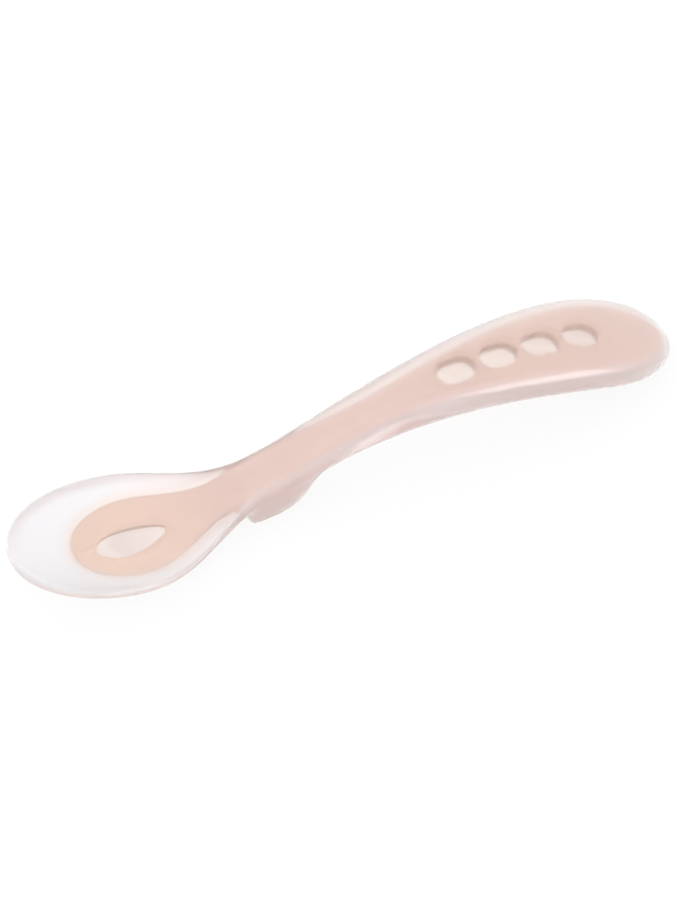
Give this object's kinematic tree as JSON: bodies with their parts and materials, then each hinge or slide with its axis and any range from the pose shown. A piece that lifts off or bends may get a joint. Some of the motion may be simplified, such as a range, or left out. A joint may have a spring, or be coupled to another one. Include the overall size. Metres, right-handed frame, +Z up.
{
  "type": "baby spoon",
  "caption": "Soft feeding spoon for a baby: shallow oval bowl, arched broad handle, foot under the neck, clear silicone moulded over a rigid pink core with an opening and a row of windows.",
  "frame": {"origin": "middle of the spoon's length and width, on the surface that it stands on", "axes": "+X from the bowl's tip to the handle's end, +Y across the spoon, +Z up out of the bowl"},
  "size_m": [0.145, 0.0304, 0.02],
  "materials": {
    "core": "powder pink, fine matt",
    "silicone": "clear, slightly milky, satin"
  },
  "bodies": {
    "root": {"inner_core": "core", "silicone_skin": "silicone"}
  },
  "joints": []
}
